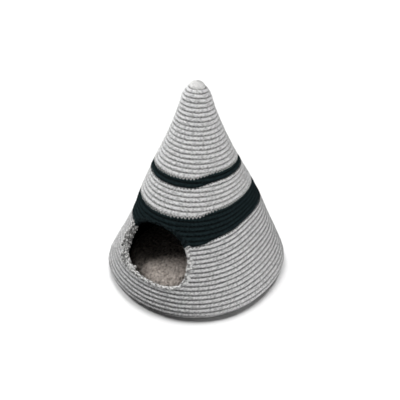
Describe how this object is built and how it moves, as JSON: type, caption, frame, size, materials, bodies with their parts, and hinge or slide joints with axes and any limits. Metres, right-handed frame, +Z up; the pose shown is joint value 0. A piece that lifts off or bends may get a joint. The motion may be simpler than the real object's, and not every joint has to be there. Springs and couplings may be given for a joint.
{
  "type": "cat teepee",
  "caption": "Soft coiled-rope cat teepee: a rounded cone with dark bands, an arched side entrance, a flat coiled base and a round fleece cushion inside.",
  "frame": {"origin": "middle of the base on the floor, on the cone's axis", "axes": "+Z up the cone's axis to its tip, the entrance faces -Y"},
  "size_m": [0.4683, 0.4935, 0.5253],
  "materials": {
    "light_rope": "braided cotton rope, heathered pale grey",
    "dark_rope": "braided cotton rope, near-black",
    "fleece": "short nubbed fleece, warm grey"
  },
  "bodies": {
    "root": {"tip_coil": "light_rope", "narrow_dark_band": "dark_rope", "middle_coil": "light_rope", "wide_dark_band": "dark_rope", "lower_coil": "light_rope", "entrance_edging_dark": "dark_rope", "entrance_edging_light": "light_rope", "base_coil": "light_rope", "cushion": "fleece"}
  },
  "joints": []
}
